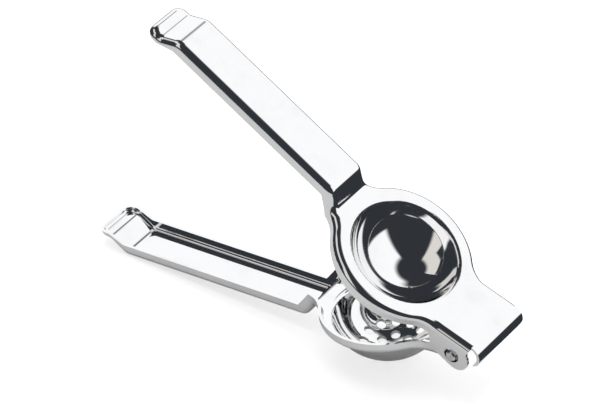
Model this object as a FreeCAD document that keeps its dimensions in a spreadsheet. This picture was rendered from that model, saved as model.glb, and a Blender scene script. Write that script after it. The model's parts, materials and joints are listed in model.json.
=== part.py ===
import FreeCAD, Part
import math
import os
import Sketcher

# Hinged lemon squeezer: two levers stamped from stainless sheet and one hinge pin.
# Each lever is drawn in its own frame: the hinge axis is Y, +X points to the front end,
# the handle runs towards -X, and the outer skin of the stamping faces +Z.
# The cup lever is then turned over, so that its skin faces the table.

# Driving sizes, in millimetres and degrees
SIZES = {
    "sheet_thickness": 1.4,
    "bend_radius": 3.0,
    "lever_clearance": 0.4,
    "ring_radius": 32.75,
    "ring_gap": 12.75,
    "neck_radius": 15.0,
    "handle_half_width": 11.5,
    "front_half_width": 18.2,
    "front_reach": 4.4,
    "neck_length": 6.75,
    "joggle_angle": 50.0,
    "joggle_radius": 4.5,
    "press_reach": 192.0,
    "press_ring_height": 7.85,
    "press_joggle": 8.2,
    "press_skirt": 6.1,
    "press_rise_angle": 14.0,
    "cup_reach": 202.0,
    "cup_ring_height": 4.3,
    "cup_joggle": 8.2,
    "cup_skirt": 5.8,
    "rise_start": 14.0,
    "rise_radius": 20.0,
    "tip_corner_radius": 5.0,
    "tip_lip_width": 6.8,
    "tip_lip_drop": 6.2,
    "tip_slope_angle": 38.0,
    "tip_bend_radius": 7.0,
    "tip_groove_radius": 3.0,
    "tip_edge_height": 3.6,
    "plate_width": 7.65,
    "bowl_depth": 18.5,
    "cup_margin": 0.5,
    "cup_depth": 19.5,
    "rim_radius": 2.0,
    "drain_radius": 2.2,
    "drain_pitch": 6.6,
    "pin_radius": 2.5,
    "pin_overhang": 0.4,
    "pin_mark_radius": 0.8,
    "pin_mark_depth": 0.3,
    "ear_hole_radius": 3.65,
    "ear_hole_lift": 1.0,
    "ear_radius": 6.0,
    "ear_forward": 2.3,
    "ear_lift": 1.5,
    "ear_heel": 14.0,
    "ear_toe": 9.5,
    "ear_roof": 8.5,
    "seam_overlap": 1.0,
    "cup_plate_end": 7.0,
    "cup_ear_radius": 5.2,
    "cup_ear_heel": 16.0,
    "pin_chamfer": 0.5,
    "lip_bend_radius": 5.4,
    "lip_inset": 1.5,
    "lip_straight": 2.6,
    "lip_corner_radius": 2.0,
    "opening_angle": 36.5,
}

doc = FreeCAD.newDocument("lemon_squeezer")
sheet = doc.addObject("Spreadsheet::Sheet", "sizes")
for row, (size_name, size_value) in enumerate(SIZES.items(), start=1):
    sheet.set(f"A{row}", size_name)
    sheet.set(f"B{row}", str(size_value))
    sheet.setAlias(f"B{row}", size_name)
doc.recompute()


class Size:
    """A number kept together with the sheet expression that gives it."""

    def __init__(self, value, text):
        self.value = value
        self.text = text

    def _join(self, other, sign, value):
        return Size(value, f"({self.text} {sign} {as_size(other).text})")

    def __add__(self, other):
        return self._join(other, "+", self.value + as_size(other).value)

    def __sub__(self, other):
        return self._join(other, "-", self.value - as_size(other).value)

    def __mul__(self, other):
        return self._join(other, "*", self.value * as_size(other).value)

    def __truediv__(self, other):
        return self._join(other, "/", self.value / as_size(other).value)

    def __rsub__(self, other):
        return as_size(other) - self

    def __neg__(self):
        return Size(-self.value, f"(0 - {self.text})")

    __radd__ = __add__
    __rmul__ = __mul__


def as_size(number):
    return number if isinstance(number, Size) else Size(float(number), str(number))


def size(name):
    return Size(SIZES[name], f"sizes.{name}")


def tangent(angle):
    return Size(math.tan(math.radians(angle.value)), f"tan({angle.text})")


def sine(angle):
    return Size(math.sin(math.radians(angle.value)), f"sin({angle.text})")


def cosine(angle):
    return Size(math.cos(math.radians(angle.value)), f"cos({angle.text})")


def bind(feature, **properties):
    """Set properties of a feature from sizes, each with its expression."""
    for name, wanted in properties.items():
        feature.setExpression(name, as_size(wanted).text)


def origin_plane(body, role):
    return next(plane for plane in body.Origin.OriginFeatures if plane.Role == role)


def new_sketch(body, role, name):
    sketch = body.newObject("Sketcher::SketchObject", name)
    sketch.AttachmentSupport = (origin_plane(body, role), [""])
    sketch.MapMode = "FlatFace"
    return sketch


def hold_point(sketch, geometry, end, across, along):
    """Fix one point of a sketch at two sizes from its origin."""
    for kind, axis, wanted in (("DistanceX", -2, across), ("DistanceY", -1, along)):
        wanted = as_size(wanted)
        if wanted.text in ("0", "0.0"):
            sketch.addConstraint(Sketcher.Constraint("PointOnObject", geometry, end, axis))
            continue
        row = sketch.addConstraint(Sketcher.Constraint(kind, -1, 1, geometry, end, wanted.value))
        sketch.setExpression(f"Constraints[{row}]", wanted.text)


def polygon_sketch(body, role, name, corners):
    """A closed outline of straight lines through the given corners."""
    sketch = new_sketch(body, role, name)
    points = [FreeCAD.Vector(as_size(x).value, as_size(y).value, 0) for x, y in corners]
    count = len(points)
    for index in range(count):
        sketch.addGeometry(Part.LineSegment(points[index], points[(index + 1) % count]), False)
    for index in range(count):
        sketch.addConstraint(Sketcher.Constraint("Coincident", index, 2, (index + 1) % count, 1))
    for index, (x, y) in enumerate(corners):
        hold_point(sketch, index, 1, x, y)
    return sketch


def circle_sketch(body, role, name, x, y, radius):
    sketch = new_sketch(body, role, name)
    centre = FreeCAD.Vector(as_size(x).value, as_size(y).value, 0)
    sketch.addGeometry(Part.Circle(centre, FreeCAD.Vector(0, 0, 1), as_size(radius).value), False)
    hold_point(sketch, 0, 3, x, y)
    row = sketch.addConstraint(Sketcher.Constraint("Radius", 0, as_size(radius).value))
    sketch.setExpression(f"Constraints[{row}]", as_size(radius).text)
    return sketch


def pad(body, sketch, length, name):
    """Grow a sketch equally to both sides of its plane."""
    feature = body.newObject("PartDesign::Pad", name)
    feature.Profile = sketch
    feature.SideType = "Symmetric"
    bind(feature, Length=length)
    return feature


def pocket(body, sketch, length, name):
    """Cut a sketch equally to both sides of its plane."""
    feature = body.newObject("PartDesign::Pocket", name)
    feature.Profile = sketch
    feature.SideType = "Symmetric"
    bind(feature, Length=length)
    return feature


def fillet(body, radius, name, wanted_edge):
    """Round the edges of the newest solid that pass the given test."""
    doc.recompute()
    base = body.Tip
    names = [f"Edge{n}" for n, edge in enumerate(base.Shape.Edges, start=1) if wanted_edge(edge)]
    feature = body.newObject("PartDesign::Fillet", name)
    feature.Base = (base, names)
    bind(feature, Radius=radius)
    doc.recompute()
    return feature


def edge_direction(edge):
    reach = edge.Vertexes[-1].Point - edge.Vertexes[0].Point
    return reach.normalize() if reach.Length > STRAIGHT else FreeCAD.Vector()


def is_upright(edge):
    return abs(edge_direction(edge).z) > 1 - STRAIGHT


def is_crosswise(edge):
    return abs(edge_direction(edge).y) > 1 - STRAIGHT


def new_body(name):
    body = doc.addObject("PartDesign::Body", name)
    body.Label = name
    return body


def combine(kind, name, *pieces):
    """A Part boolean: Cut takes two pieces, MultiFuse any number."""
    feature = doc.addObject(kind, name)
    if kind == "Part::Cut":
        feature.Base, feature.Tool = pieces
    else:
        feature.Shapes = list(pieces)
    doc.recompute()
    return feature


# Sizes that both levers share
thickness = size("sheet_thickness")
ring_x = -(size("ring_gap") + size("ring_radius"))
joggle_start = ring_x - size("ring_radius") - size("neck_length")
overlap = size("seam_overlap")
bowl_radius = size("ring_radius") - size("plate_width")
cup_radius = bowl_radius + size("cup_margin")

# A length past every edge of a lever, for solids that are cut down afterwards
block = size("cup_reach")

# How near to a place or a direction counts as being there
NEAR = 1e-3
STRAIGHT = 1e-6


class Lever:
    """The sizes in which one lever differs from the other."""

    def __init__(self, name, reach, height, joggle, skirt, rise_angle, plate_end, inset):
        self.name = name
        self.plate_end = plate_end
        self.reach = reach
        self.ring_height = height
        self.handle_height = height + joggle
        self.skirt = skirt
        self.rise_angle = rise_angle
        self.nose_slant = thickness * sine(rise_angle) if rise_angle else as_size(0)
        self.joggle_run = joggle / tangent(size("joggle_angle"))
        self.ring_radius = size("ring_radius") - inset
        self.front_half_width = size("front_half_width") - inset


inside_press = thickness + size("lever_clearance")
press = Lever("press_lever", size("press_reach"), size("press_ring_height"),
              size("press_joggle"), size("press_skirt"), size("press_rise_angle"),
              size("front_reach"), as_size(0))
cup = Lever("cup_lever", size("cup_reach"), size("cup_ring_height"),
            size("cup_joggle"), size("cup_skirt"), None,
            -size("cup_plate_end"), inside_press)


def skin_line(lever, depth):
    """Side view of the skin, from tip to front end, at a depth below the outer face."""
    joggle_shift = depth * tangent(size("joggle_angle") / 2)
    tip_shift = depth * tangent(size("tip_slope_angle") / 2)
    joggle_x = joggle_start - joggle_shift
    lip_x = size("tip_lip_width") - lever.reach + tip_shift
    slope_run = size("tip_lip_drop") / tangent(size("tip_slope_angle"))
    handle_z = lever.handle_height - depth
    ring_z = lever.ring_height - depth
    line = [
        (-lever.reach - block, handle_z - size("tip_lip_drop")),
        (lip_x, handle_z - size("tip_lip_drop")),
        (lip_x + slope_run, handle_z),
        (joggle_x, handle_z),
        (joggle_x + lever.joggle_run, ring_z),
    ]
    if lever.rise_angle is None:
        return line + [(block, ring_z)]
    rise_x = depth * tangent(lever.rise_angle / 2) - size("rise_start")
    return line + [(rise_x, ring_z), (rise_x + block, ring_z + block * tangent(lever.rise_angle))]


def lever_form(lever, depth, name):
    """Solid block with the plan outline and the side view of a lever, lying depth inside its skin."""
    body = new_body(name)
    ring = lever.ring_radius - depth
    handle = size("handle_half_width") - depth
    front = lever.front_half_width - depth
    back = depth - lever.reach
    nose = lever.plate_end + (block if depth.value else lever.nose_slant)
    pad(body, circle_sketch(body, "XY_Plane", name + "_ring", ring_x, 0, ring), block, name + "_disc")
    handle_plan = [(back, -handle), (ring_x, -handle), (ring_x, handle), (back, handle)]
    pad(body, polygon_sketch(body, "XY_Plane", name + "_handle", handle_plan), block, name + "_bar")
    front_plan = [(ring_x, -front), (nose, -front), (nose, front), (ring_x, front)]
    pad(body, polygon_sketch(body, "XY_Plane", name + "_front", front_plan), block, name + "_nose")
    tip_x = back.value
    front_x = nose.value
    fillet(body, size("neck_radius") + depth, name + "_neck",
           lambda edge: is_upright(edge) and tip_x + NEAR < edge.Vertexes[0].X < front_x - NEAR)
    fillet(body, size("tip_corner_radius") - depth, name + "_tip",
           lambda edge: is_upright(edge) and edge.Vertexes[0].X < tip_x + NEAR)
    line = skin_line(lever, depth)
    above = line + [(line[-1][0], block), (line[0][0], block)]
    pocket(body, polygon_sketch(body, "XZ_Plane", name + "_skin", above), block, name + "_top")
    rounded_corners(body, lever, depth, name)
    skin_edges = bend_edges(body.Tip.Shape, front_x)
    fillet(body, size("bend_radius") - depth, name + "_bend",
           lambda edge: any(edge.isSame(other) for other in skin_edges))
    if not depth.value:
        low = skirt_line(lever)
        below = low + [(low[-1][0], -block), (low[0][0], -block)]
        pocket(body, polygon_sketch(body, "XZ_Plane", name + "_skirt", below), block, name + "_open")
    return body


def skirt_line(lever):
    """Side view of the free edge of the side walls, from tip to front end."""
    skin = skin_line(lever, as_size(0))
    parallel = skin_line(lever, lever.skirt)
    edge_z = skin[1][1] - size("tip_edge_height")
    return [
        (skin[0][0], edge_z),
        (skin[1][0], edge_z),
        (skin[2][0], parallel[2][1]),
        parallel[3],
        parallel[4],
        (block, parallel[4][1]),
    ]


def is_wall(face):
    """True for a face that stands upright everywhere."""
    low_u, high_u, low_v, high_v = face.ParameterRange
    return abs(face.normalAt((low_u + high_u) / 2, (low_v + high_v) / 2).z) < STRAIGHT


def bend_edges(shape, front_x):
    """The edges between the skin and the side walls, all round but for the front end."""
    walls = [face for face in shape.Faces if is_wall(face) and face.BoundBox.XMin < front_x - NEAR]
    bottom = shape.BoundBox.ZMin + NEAR
    skin = [face for face in shape.Faces if not is_wall(face) and face.CenterOfMass.z > bottom]
    return [edge for face in skin for edge in face.Edges
            if any(edge.isSame(other) for wall in walls for other in wall.Edges)]


def rounded_corners(body, lever, depth, name):
    """Round the seams across the skin: outer bends lose the depth, inner bends gain it."""
    line = skin_line(lever, depth)
    seams = (
        ("groove", 1, size("tip_groove_radius") + depth),
        ("shoulder", 2, size("tip_bend_radius") - depth),
        ("step", 3, size("joggle_radius") - depth),
        ("foot", 4, size("joggle_radius") + depth),
        ("rise", 5, size("rise_radius") + depth),
    )
    for label, corner, radius in seams[:len(line) - 2]:
        place = FreeCAD.Vector(line[corner][0].value, 0, line[corner][1].value)
        fillet(body, radius, f"{name}_{label}", crosswise_at(place))


def crosswise_at(place):
    """A test for edges that cross the lever at one place of its side view."""
    def passes(edge):
        start = edge.Vertexes[0].Point
        return is_crosswise(edge) and math.hypot(start.x - place.x, start.z - place.z) < NEAR
    return passes


def shell(lever):
    """The hollow stamping: the outer form less the same form one sheet further in."""
    return combine("Part::Cut", lever.name + "_shell",
                   lever_form(lever, as_size(0), lever.name + "_outer"),
                   lever_form(lever, thickness, lever.name + "_inner"))


def ball(name, centre_z, radius, low=-90, high=90):
    """A ball, or the part of one between two latitudes, on the axis of the ring."""
    feature = doc.addObject("Part::Sphere", name)
    bind(feature, Radius=radius, Angle1=low, Angle2=high)
    feature.setExpression(".Placement.Base.x", ring_x.text)
    feature.setExpression(".Placement.Base.z", centre_z.text)
    return feature


def latitude(height, radius):
    """The latitude at which a ball of this radius has the given height above its centre."""
    angle = math.degrees(math.asin(height.value / radius.value))
    return Size(angle, f"asin({height.text} / {radius.text})")


def ball_radius(mouth, depth):
    """Radius of the ball whose cap has this mouth radius and depth."""
    return (mouth * mouth + depth * depth) / (2 * depth)


def side_plates(name, half_width, corners, lobe_x, lobe_z, lobe_radius):
    """Two flat ears at the sides, each one sheet thick, drawn in side view."""
    body = new_body(name)
    width = 2 * half_width
    pad(body, polygon_sketch(body, "XZ_Plane", name + "_side", corners), width, name + "_web")
    pad(body, circle_sketch(body, "XZ_Plane", name + "_round", lobe_x, lobe_z, lobe_radius),
        width, name + "_lobe")
    gap = [(-block, -block), (block, -block), (block, block), (-block, block)]
    pocket(body, polygon_sketch(body, "XZ_Plane", name + "_between", gap),
           width - 2 * thickness, name + "_gap")
    doc.recompute()
    return body


def front_lip():
    """The front end of the press lever, bent down over the ears of the cup lever."""
    rise = press.rise_angle
    run = size("front_reach") + size("rise_start")
    radius = size("lip_bend_radius")
    centre_x = size("front_reach") + radius * sine(rise)
    centre_z = press.ring_height + run * tangent(rise) - radius * cosine(rise)
    body = new_body("press_lip")
    width = 2 * (press.front_half_width - size("lip_inset"))
    outside = circle_sketch(body, "XZ_Plane", "lip_outside", centre_x, centre_z, radius)
    pad(body, outside, width, "lip_roll")
    foot_z = centre_z - size("lip_straight")
    straight = [(centre_x, foot_z), (centre_x + radius, foot_z),
                (centre_x + radius, centre_z), (centre_x, centre_z)]
    pad(body, polygon_sketch(body, "XZ_Plane", "lip_side", straight), width, "lip_wall")
    hollow = radius - thickness
    inside = circle_sketch(body, "XZ_Plane", "lip_inside", centre_x, centre_z, hollow)
    pocket(body, inside, width, "lip_hollow")
    behind = [(centre_x, centre_z),
              (centre_x - block * sine(rise), centre_z + block * cosine(rise)),
              (-block, block), (-block, -block),
              (centre_x + hollow, -block), (centre_x + hollow, centre_z)]
    pocket(body, polygon_sketch(body, "XZ_Plane", "lip_back", behind), width, "lip_trim")
    doc.recompute()
    fillet(body, size("lip_corner_radius"), "lip_corners",
           lambda edge: abs(edge_direction(edge).x) > 1 - STRAIGHT
           and edge.Vertexes[0].Z < foot_z.value + NEAR)
    return body


def round_at(height):
    """A test for full circles at a height."""
    def passes(edge):
        return len(edge.Vertexes) == 1 and abs(edge.Vertexes[0].Z - height) < NEAR
    return passes


def finish(name, pieces, hollow, rims, hole_radius, hole_z):
    """Join the pieces of a lever, open its bowl, round the rims and bore the ears."""
    joined = combine("Part::MultiFuse", name + "_joined", *pieces)
    opened = combine("Part::Cut", name + "_opened", joined, hollow)
    body = new_body(name)
    body.BaseFeature = opened
    doc.recompute()
    for label, rim_z, radius in rims:
        fillet(body, radius, f"{name}_{label}", round_at(rim_z.value))
    hole = circle_sketch(body, "XZ_Plane", name + "_bore", 0, hole_z, hole_radius)
    pocket(body, hole, block, name + "_bored")
    doc.recompute()
    return body


def build_press_lever():
    top = press.ring_height
    wall_z = top - press.skirt
    ear_bottom = size("ear_lift") - size("ear_radius")
    ear_x = size("ear_forward")
    ear = [(-size("ear_heel"), wall_z + overlap), (-size("ear_heel"), wall_z),
           (-size("ear_toe"), ear_bottom), (ear_x, ear_bottom),
           (ear_x + size("ear_radius"), size("ear_lift")),
           (size("front_reach"), size("ear_roof")), (size("front_reach"), wall_z + overlap)]
    ears = side_plates("press_ears", press.front_half_width, ear,
                       ear_x, size("ear_lift"), size("ear_radius"))
    radius = ball_radius(bowl_radius, size("bowl_depth"))
    centre_z = top - size("bowl_depth") + radius
    bowl = ball("press_bowl", centre_z, radius + thickness,
                high=latitude(top - thickness / 2 - centre_z, radius + thickness))
    rims = (("rim", top, size("rim_radius")),
            ("neck_rim", top - thickness, size("rim_radius") - thickness))
    return finish("press_lever", [shell(press), ears, front_lip(), bowl],
                  ball("press_space", centre_z, radius), rims,
                  size("ear_hole_radius"), size("ear_hole_lift"))


def build_cup_lever():
    top = cup.ring_height
    wall_z = top - cup.skirt
    ear_radius = size("cup_ear_radius")
    ear = [(-size("cup_ear_heel"), wall_z), (-size("cup_ear_heel"), wall_z + overlap),
           (-size("cup_plate_end"), wall_z + overlap),
           (overlap - size("cup_plate_end"), top - thickness),
           (0, ear_radius), (0, -ear_radius)]
    ears = side_plates("cup_ears", cup.front_half_width, ear, as_size(0), as_size(0), ear_radius)
    radius = ball_radius(cup_radius, size("cup_depth"))
    centre_z = top - thickness + size("cup_depth") - radius
    dome = ball("cup_dome", centre_z, radius + thickness,
                low=latitude(top - thickness / 2 - centre_z, radius + thickness))
    rims = (("rim", top - thickness, size("rim_radius")),
            ("neck_rim", top, size("rim_radius") - thickness))
    body = finish("cup_lever", [shell(cup), ears, dome],
                  ball("cup_space", centre_z, radius), rims, size("pin_radius"), 0)
    drain_holes(body)
    return body


def drain_holes(body):
    """Round holes through the bottom of the cup: one in the middle, then rings of 6 and 12."""
    for ring, count in enumerate((1, 6, 12)):
        sketch = circle_sketch(body, "XY_Plane", f"drain_{ring}", ring * size("drain_pitch"), 0,
                               size("drain_radius"))
        sketch.setExpression(".AttachmentOffset.Base.x", ring_x.text)
        hole = pocket(body, sketch, block, f"drain_hole_{ring}")
        doc.recompute()
        if count > 1:
            pattern = body.newObject("PartDesign::PolarPattern", f"drain_ring_{ring}")
            pattern.Originals = [hole]
            pattern.Axis = (sketch, ["N_Axis"])
            pattern.Angle = 360
            pattern.Occurrences = count
            body.Tip = pattern
    doc.recompute()


def build_hinge_pin():
    """A plain pin, pressed through the ears of the cup lever, with a centre mark in each end."""
    body = new_body("hinge_pin")
    half = press.front_half_width + size("pin_overhang")
    radius = size("pin_radius")
    chamfer = size("pin_chamfer")
    mark = size("pin_mark_radius")
    half_outline = [(mark, half), (radius - chamfer, half), (radius, half - chamfer)]
    profile = ([(as_size(0), half - size("pin_mark_depth"))] + half_outline
               + [(x, -y) for x, y in reversed(half_outline)]
               + [(as_size(0), size("pin_mark_depth") - half)])
    sketch = polygon_sketch(body, "XY_Plane", "pin_profile", profile)
    turned = body.newObject("PartDesign::Revolution", "pin_turned")
    turned.Profile = sketch
    turned.ReferenceAxis = (sketch, ["V_Axis"])
    doc.recompute()
    return body


def resting_pitch():
    """How far the cup lever tips back, in degrees, to rest on its cup and the end of its handle."""
    radius = ball_radius(cup_radius, size("cup_depth")).value
    cup_z = radius - cup.ring_height.value + SIZES["sheet_thickness"] - SIZES["cup_depth"]
    cup_reach = radius + SIZES["sheet_thickness"]
    shoulder = skin_line(cup, as_size(0))[2]
    bend = SIZES["tip_bend_radius"]
    heel_x = shoulder[0].value + bend * math.tan(math.radians(SIZES["tip_slope_angle"] / 2))
    heel_z = bend - shoulder[1].value
    across = ring_x.value - heel_x
    drop = cup_z - heel_z
    lean = math.asin((cup_reach - bend) / math.hypot(across, drop)) - math.atan2(drop, across)
    return math.degrees(lean)


SIDE = FreeCAD.Vector(0, 1, 0)
LENGTH = FreeCAD.Vector(1, 0, 0)

press_lever = build_press_lever()
cup_lever = build_cup_lever()
hinge_pin = build_hinge_pin()

pitch = resting_pitch()
tipped = FreeCAD.Rotation(SIDE, -pitch)
turns = {
    cup_lever: tipped.multiply(FreeCAD.Rotation(LENGTH, 180)),
    hinge_pin: tipped,
    press_lever: FreeCAD.Rotation(SIDE, SIZES["opening_angle"] - pitch),
}
for piece, turn in turns.items():
    piece.Placement = FreeCAD.Placement(FreeCAD.Vector(), turn)
doc.recompute()

# The origin is the middle of the bottom of the whole squeezer as it stands
box = Part.makeCompound([piece.Shape for piece in turns]).optimalBoundingBox(False, False)
hinge_point = FreeCAD.Vector(-(box.XMin + box.XMax) / 2, -(box.YMin + box.YMax) / 2, -box.ZMin)
for piece, turn in turns.items():
    piece.Placement = FreeCAD.Placement(hinge_point, turn)
doc.recompute()
print("hinge axis at", hinge_point, "cup lever tipped by", pitch)
print("size", box.XLength, box.YLength, box.ZLength)

for item in doc.Objects:
    if "Invalid" in item.State or "Error" in item.State:
        raise RuntimeError(f"{item.Name} failed: {item.State}")
for piece in turns:
    if piece.Shape.isNull() or not piece.Shape.isValid() or len(piece.Shape.Solids) != 1:
        raise RuntimeError(f"{piece.Label} is not one sound solid")

os.makedirs("parts", exist_ok=True)
for piece in turns:
    piece.Shape.exportStep(f"parts/{piece.Label}.step")
    print(piece.Label, round(piece.Shape.Volume), "mm3")
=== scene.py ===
import json
import math

import bmesh
import bpy
from mathutils import Matrix, Vector

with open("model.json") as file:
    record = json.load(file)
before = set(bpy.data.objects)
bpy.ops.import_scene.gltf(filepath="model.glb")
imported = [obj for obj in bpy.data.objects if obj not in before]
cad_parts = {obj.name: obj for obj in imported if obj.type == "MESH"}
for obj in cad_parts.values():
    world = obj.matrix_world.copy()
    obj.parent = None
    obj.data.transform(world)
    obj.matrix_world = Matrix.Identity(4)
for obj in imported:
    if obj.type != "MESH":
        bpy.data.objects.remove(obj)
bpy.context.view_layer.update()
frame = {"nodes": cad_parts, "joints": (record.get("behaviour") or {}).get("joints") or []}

nodes = frame["nodes"]
scene = bpy.context.scene


# The press lever is the upper lever of the squeezer, one stamping of stainless sheet.
# It is pressed to shape with its bowl, its walls and its ears, then buffed on a wheel to
# a mirror that keeps a faint waviness of the sheet, fine buffing lines and a little haze.

class Wire:
    """A socket of a shader tree, so that expressions on it add their maths nodes."""

    def __init__(self, tree, socket):
        self.tree = tree
        self.socket = socket

    def maths(self, operation, *others, first=None):
        inputs = [self if first is None else first, *others]
        return self.tree.node("ShaderNodeMath", {"operation": operation}, dict(enumerate(inputs)))

    def __add__(self, other):
        return self.maths("ADD", other)

    def __mul__(self, other):
        return self.maths("MULTIPLY", other)

    def __rsub__(self, other):
        return self.maths("SUBTRACT", self, first=other)

    __radd__ = __add__
    __rmul__ = __mul__

    def smooth(self, none, full):
        """0 at none, 1 at full and a soft step between them, whichever is the larger."""
        settings = {"interpolation_type": "SMOOTHSTEP"}
        return self.tree.node("ShaderNodeMapRange", settings, {0: self, 1: none, 2: full})


class Finish:
    """A material or the world, whose nodes are added one by one."""

    def __init__(self, holder):
        self.holder = holder
        holder.use_nodes = True
        self.nodes = holder.node_tree.nodes
        self.links = holder.node_tree.links
        self.nodes.clear()

    def node(self, kind, settings=None, inputs=None, output=0):
        added = self.nodes.new(kind)
        for name, value in (settings or {}).items():
            setattr(added, name, value)
        for name, value in (inputs or {}).items():
            if isinstance(value, Wire):
                self.links.new(value.socket, added.inputs[name])
            else:
                added.inputs[name].default_value = value
        return Wire(self, added.outputs[output]) if added.outputs else None

    def surface_point(self, shift, stretch=(1, 1, 1)):
        """Object coordinates, stretched and then moved by shift."""
        here = self.node("ShaderNodeTexCoord", output="Object")
        return self.node("ShaderNodeMapping", {"vector_type": "POINT"},
                         {"Vector": here, "Location": shift, "Scale": stretch})

    def noise(self, where, scale, detail, roughness=0.5):
        settings = {"Vector": where, "Scale": scale, "Detail": detail, "Roughness": roughness}
        return self.node("ShaderNodeTexNoise", None, settings)

    def bump(self, height, strength, distance):
        settings = {"Height": height, "Strength": strength, "Distance": distance}
        return self.node("ShaderNodeBump", None, settings)


def polished_sheet(name, shift):
    """Buffed stainless sheet; shift moves the pattern, so that no two stampings match."""
    clean_steel = (0.93, 0.93, 0.935, 1.0)
    hazed_steel = (0.84, 0.84, 0.85, 1.0)
    clean_roughness = 0.035
    haze_roughness = 0.06
    haze_colour_share = 0.5
    haze_scale = 55.0
    haze_edges = (0.45, 0.75)
    line_roughness = 0.03
    line_stretch = (35.0, 900.0, 35.0)
    line_edges = (0.5, 0.8)
    line_height = 0.004
    wave_scale = 28.0
    bump_strength = 0.25
    bump_depth = 0.00025

    finish = Finish(bpy.data.materials.new(name))
    point = finish.surface_point(shift)
    haze = finish.noise(point, haze_scale, 4.0, 0.6).smooth(*haze_edges)
    lines = finish.noise(finish.surface_point(shift, line_stretch), 1.0, 3.0, 0.55)
    colour = finish.node("ShaderNodeMix", {"data_type": "RGBA"},
                         {"Factor": haze * haze_colour_share, "A": clean_steel, "B": hazed_steel},
                         "Result")
    line_share = lines.smooth(*line_edges)
    roughness = clean_roughness + haze * haze_roughness + line_share * line_roughness
    height = finish.noise(point, wave_scale, 1.0, 0.4) + lines * line_height
    bump = finish.bump(height, bump_strength, bump_depth)
    shader = finish.node("ShaderNodeBsdfPrincipled", None,
                         {"Base Color": colour, "Metallic": 1.0,
                          "Roughness": roughness, "Normal": bump})
    finish.node("ShaderNodeOutputMaterial", None, {"Surface": shader})
    return finish.holder


def dress(piece, material):
    """Give a piece one material in every slot."""
    if not piece.material_slots:
        piece.data.materials.append(material)
    for slot in piece.material_slots:
        slot.material = material


press_lever_shift = (0.0, 0.0, 0.0)
dress(nodes["press_lever"], polished_sheet("press_lever_steel", press_lever_shift))


# The cup lever is the lower lever, a second stamping of the same sheet, turned over.
# Its cup is pierced with drain holes, and it is buffed on the wheel like its partner.

cup_lever_shift = (0.31, 0.17, 0.09)
dress(nodes["cup_lever"], polished_sheet("cup_lever_steel", cup_lever_shift))


# The hinge pin is turned from stainless bar, faced at both ends with a centre mark,
# and pressed through the ears of the cup lever. Its end faces keep fine turning rings.

def turned_steel(name, axis_point):
    """Turned bar whose tool marks are rings about the hinge axis."""
    steel = (0.72, 0.72, 0.73, 1.0)
    base_roughness = 0.18
    stain_roughness = 0.15
    stain_scale = 900.0
    stain_height = 0.2
    ring_scale = 2600.0
    ring_waver = 0.4
    ring_height = 0.5
    bump_strength = 0.3
    bump_depth = 0.00002

    finish = Finish(bpy.data.materials.new(name))
    point = finish.surface_point(-axis_point)
    rings = finish.node("ShaderNodeTexWave",
                        {"wave_type": "RINGS", "rings_direction": "Y", "wave_profile": "SIN"},
                        {"Vector": point, "Scale": ring_scale, "Distortion": ring_waver,
                         "Detail": 1.0})
    stain = finish.noise(point, stain_scale, 3.0)
    bump = finish.bump(rings * ring_height + stain * stain_height, bump_strength, bump_depth)
    shader = finish.node("ShaderNodeBsdfPrincipled", None,
                         {"Base Color": steel, "Metallic": 1.0,
                          "Roughness": base_roughness + stain * stain_roughness,
                          "Normal": bump})
    finish.node("ShaderNodeOutputMaterial", None, {"Surface": shader})
    return finish.holder


hinge = Vector(frame["joints"][0]["pos_m"])
dress(nodes["hinge_pin"], turned_steel("hinge_pin_steel", hinge))


# The camera looks down on the squeezer from its near side with a long lens, a little
# rolled. Its angles, distance and lens were solved from edges and corners of the piece.

azimuth = math.radians(38.9)
elevation = math.radians(37.75)
roll = math.radians(-4.37)
distance = 1.795
focal_share = 2.276
sensor_width = 36.0
frame_width = 600
far_clip = 20.0
shift_right = 0.00674
shift_up = 0.00661
aim = hinge + Vector((-0.1, 0.0, 0.02))

back = Vector((math.sin(azimuth) * math.cos(elevation),
               -math.cos(azimuth) * math.cos(elevation), math.sin(elevation)))
level_right = Vector((math.cos(azimuth), math.sin(azimuth), 0.0))
level_up = back.cross(level_right)
right = level_right * math.cos(roll) + level_up * math.sin(roll)
up = level_up * math.cos(roll) - level_right * math.sin(roll)
camera = bpy.data.objects.new("camera", bpy.data.cameras.new("camera"))
camera.data.sensor_width = sensor_width
camera.data.lens = focal_share * distance * 1000 / frame_width * sensor_width
camera.data.clip_end = far_clip
stand = aim + right * shift_right + up * shift_up + back * distance
turn = Matrix((right, up, back)).transposed().to_4x4()
camera.matrix_world = Matrix.Translation(stand) @ turn
scene.collection.objects.link(camera)
scene.camera = camera


# The floor is a round of pale card, at the height on which the squeezer stands.
# The camera sees it run on past the card's edge, and the steel sees the dim room there.
# Its glow is for the camera alone, and from below the floor is clear.

card_radius = 0.43
card_middle = Vector((-0.2, -0.29, 0.0))
card_edge = 0.005
card_colour = (0.8, 0.8, 0.8, 1.0)
card_glow = 0.66
glow_colour = (1.0, 1.0, 1.0, 1.0)
floor_radius = 1.2
floor_sides = 128

disc = bmesh.new()
bmesh.ops.create_circle(disc, cap_ends=True, segments=floor_sides, radius=floor_radius)
floor_mesh = bpy.data.meshes.new("floor")
disc.to_mesh(floor_mesh)
disc.free()
floor = bpy.data.objects.new("floor", floor_mesh)
scene.collection.objects.link(floor)

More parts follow.
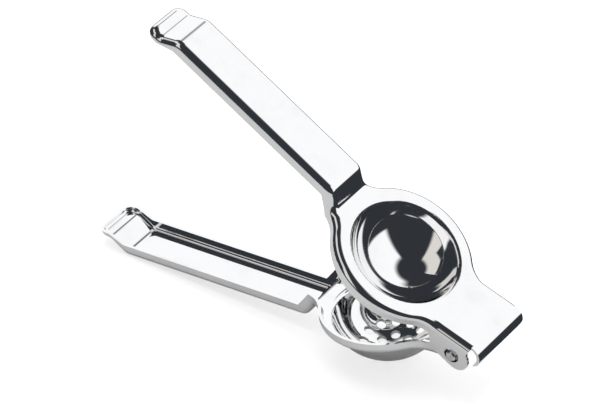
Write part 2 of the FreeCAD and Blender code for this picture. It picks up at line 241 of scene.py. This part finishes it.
paper = Finish(bpy.data.materials.new("floor_card"))
camera_ray = paper.node("ShaderNodeLightPath", output="Is Camera Ray")
from_middle = paper.node("ShaderNodeVectorMath", {"operation": "LENGTH"},
                         {0: paper.surface_point(-card_middle)}, "Value")
on_card = from_middle.smooth(card_radius, card_radius - card_edge)
underside = paper.node("ShaderNodeNewGeometry", output="Backfacing")
shown = on_card.maths("MAXIMUM", camera_ray) * (1.0 - underside)
pale = paper.node("ShaderNodeBsdfDiffuse", None, {"Color": card_colour})
glow = paper.node("ShaderNodeEmission", None,
                  {"Color": glow_colour, "Strength": camera_ray * card_glow})
both = paper.node("ShaderNodeAddShader", None, {0: pale, 1: glow})
clear = paper.node("ShaderNodeBsdfTransparent")
card = paper.node("ShaderNodeMixShader", None, {0: shown, 1: clear, 2: both})
paper.node("ShaderNodeOutputMaterial", None, {"Surface": card})
floor.data.materials.append(paper.holder)


# The studio is dim, with two soft boxes that the polished steel shows: a long white one
# behind the squeezer and to its right, and a duller, warmer one in front on the left.
# A notch is cut out of the long box at its upper left, and a step out of the front box.

dim_colour = (0.031, 0.036, 0.042, 1.0)
long_box_colour = (1.0, 1.0, 1.0, 1.0)
front_box_colour = (0.72, 0.69, 0.65, 1.0)
backdrop_colour = (1.0, 1.0, 1.0, 1.0)

# Each pair is where an edge starts and where it is full: right, left and side are in
# radians from +X towards +Y, and foot and top are sines of the height.
long_box_right = (-0.18, 0.0)
long_box_left = (2.9, 2.6)
long_box_foot = (-0.04, 0.05)
long_box_top = (0.90, 0.80)
notch_side = (1.6, 2.0)
notch_foot = (0.66, 0.78)
front_box_right = (-1.60, -1.74)
front_box_foot = (0.15, 0.25)
front_box_top = (0.95, 0.90)
step_side = (-2.06, -2.14)
step_top = (0.71, 0.65)

world = bpy.data.worlds.new("studio")
scene.world = world
studio = Finish(world)
direction = studio.node("ShaderNodeTexCoord", output="Generated")
parts = studio.node("ShaderNodeSeparateXYZ", None, {0: direction}).socket.node
across, along, high = (Wire(studio, parts.outputs[axis]) for axis in "XYZ")
bearing = along.maths("ARCTAN2", across)
notch = bearing.smooth(*notch_side) * high.smooth(*notch_foot)
long_box = (bearing.smooth(*long_box_right) * bearing.smooth(*long_box_left)
            * high.smooth(*long_box_foot) * high.smooth(*long_box_top) * (1.0 - notch))
step = bearing.smooth(*step_side) * high.smooth(*step_top)
front_box = (bearing.smooth(*front_box_right) * high.smooth(*front_box_foot)
             * high.smooth(*front_box_top) * (1.0 - step))


def lit(colour, strength):
    return studio.node("ShaderNodeBackground", None, {"Color": colour, "Strength": strength})


boxes = studio.node("ShaderNodeAddShader", None, {0: lit(long_box_colour, long_box),
                                                  1: lit(front_box_colour, front_box)})
room = studio.node("ShaderNodeAddShader", None, {0: lit(dim_colour, 1.0), 1: boxes})
seen = studio.node("ShaderNodeLightPath", output="Is Camera Ray")
sky = studio.node("ShaderNodeMixShader", None,
                  {0: seen, 1: room, 2: lit(backdrop_colour, 1.0)})
studio.node("ShaderNodeOutputWorld", None, {"Surface": sky})

lamp_size = 0.9
lamp_power = 6.0
lamp_place = (0.0, 0.15, 1.1)
lamp_data = bpy.data.lights.new("overhead", "AREA")
lamp_data.size = lamp_size
lamp_data.energy = lamp_power
lamp = bpy.data.objects.new("overhead", lamp_data)
lamp.location = lamp_place
lamp.visible_glossy = False
scene.collection.objects.link(lamp)

scene.view_settings.view_transform = "Standard"
